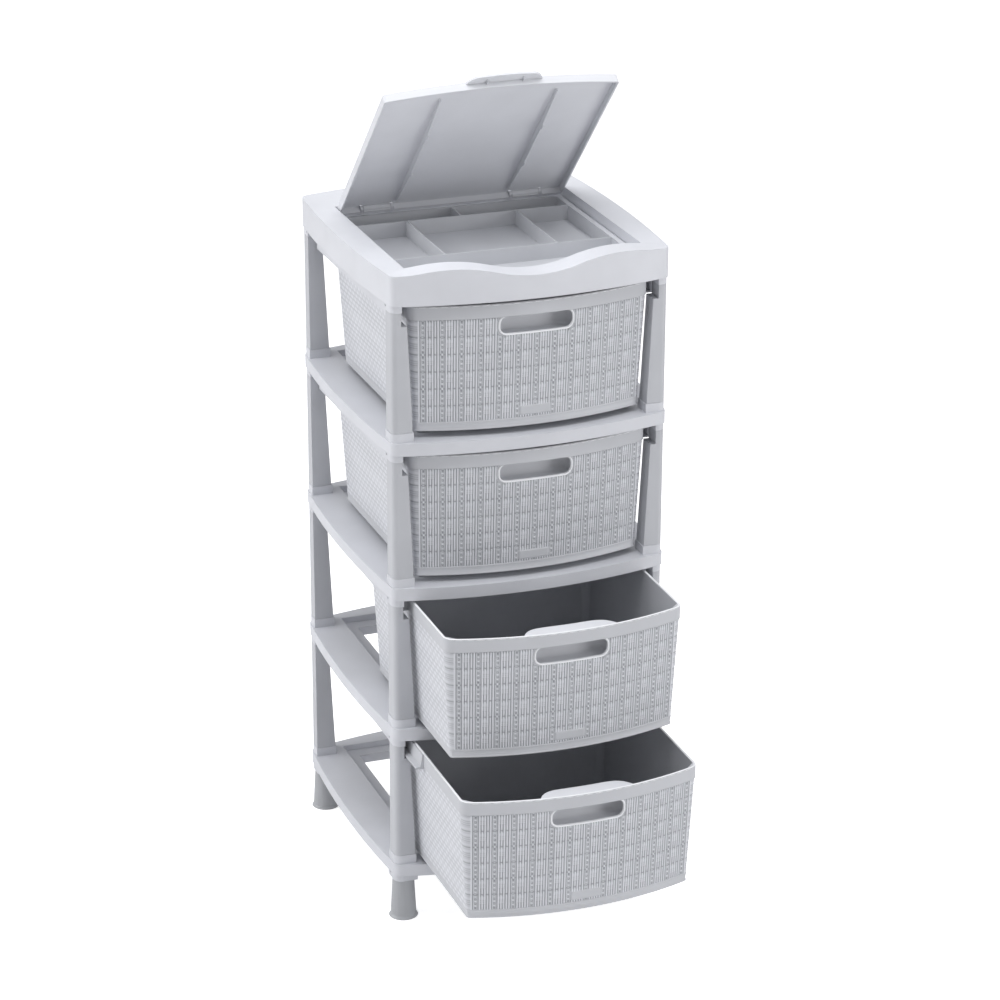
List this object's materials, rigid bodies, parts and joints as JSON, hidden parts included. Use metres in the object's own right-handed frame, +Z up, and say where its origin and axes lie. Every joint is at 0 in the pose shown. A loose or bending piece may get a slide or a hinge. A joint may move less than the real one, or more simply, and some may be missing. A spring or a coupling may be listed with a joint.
{
  "type": "plastic drawer storage tower",
  "caption": "Tall narrow storage tower of moulded plastic with woven-look pull-out drawers between open shelf rings and a hinged-lid organiser top.",
  "frame": {"origin": "on the floor, under the middle of the bounding box of the tower as it stands at rest, with the lid half open and the two lower drawers pulled out", "axes": "+Z up, the drawers open towards -Y, +X to the right seen from the front"},
  "size_m": [0.4198, 0.6659, 1.1956],
  "materials": {
    "frame_plastic": "light cool grey satin injection-moulded plastic",
    "top_plastic": "light cool grey satin injection-moulded plastic, smooth panels",
    "tray_plastic": "light cool grey satin injection-moulded plastic",
    "drawer_plastic": "light cool grey satin plastic with a moulded woven pattern",
    "pin_plastic": "light grey plastic pins"
  },
  "bodies": {
    "frame": {"top_frame": "top_plastic", "organizer_tray": "tray_plastic", "shelf_1": "frame_plastic", "shelf_2": "frame_plastic", "shelf_3": "frame_plastic", "shelf_4": "frame_plastic", "post_front_left_1": "frame_plastic", "post_front_left_2": "frame_plastic", "post_front_left_3": "frame_plastic", "post_front_left_4": "frame_plastic", "post_front_right_1": "frame_plastic", "post_front_right_2": "frame_plastic", "post_front_right_3": "frame_plastic", "post_front_right_4": "frame_plastic", "post_rear_left_1": "frame_plastic", "post_rear_left_2": "frame_plastic", "post_rear_left_3": "frame_plastic", "post_rear_left_4": "frame_plastic", "post_rear_right_1": "frame_plastic", "post_rear_right_2": "frame_plastic", "post_rear_right_3": "frame_plastic", "post_rear_right_4": "frame_plastic", "foot_front_left": "frame_plastic", "foot_front_right": "frame_plastic", "foot_rear_left": "frame_plastic", "foot_rear_right": "frame_plastic", "hinge_pin_left": "pin_plastic", "hinge_pin_right": "pin_plastic"},
    "lid": {"lid": "top_plastic"},
    "drawer_1": {"drawer_1": "drawer_plastic"},
    "drawer_2": {"drawer_2": "drawer_plastic"},
    "drawer_3": {"drawer_3": "drawer_plastic"},
    "drawer_4": {"drawer_4": "drawer_plastic"}
  },
  "joints": [
    {"name": "lid_hinge", "type": "hinge", "parent": "frame", "child": "lid", "pos_m": [0, 0.23, 0.956], "axis": [-1, 0, 0], "range_deg": [-45.5, 45]},
    {"name": "drawer_1_slide", "type": "slide", "parent": "frame", "child": "drawer_1", "axis": [0, -1, 0], "range_m": [0, 0.27]},
    {"name": "drawer_2_slide", "type": "slide", "parent": "frame", "child": "drawer_2", "axis": [0, -1, 0], "range_m": [0, 0.27]},
    {"name": "drawer_3_slide", "type": "slide", "parent": "frame", "child": "drawer_3", "axis": [0, -1, 0], "range_m": [-0.144, 0.126]},
    {"name": "drawer_4_slide", "type": "slide", "parent": "frame", "child": "drawer_4", "axis": [0, -1, 0], "range_m": [-0.211, 0.059]}
  ]
}
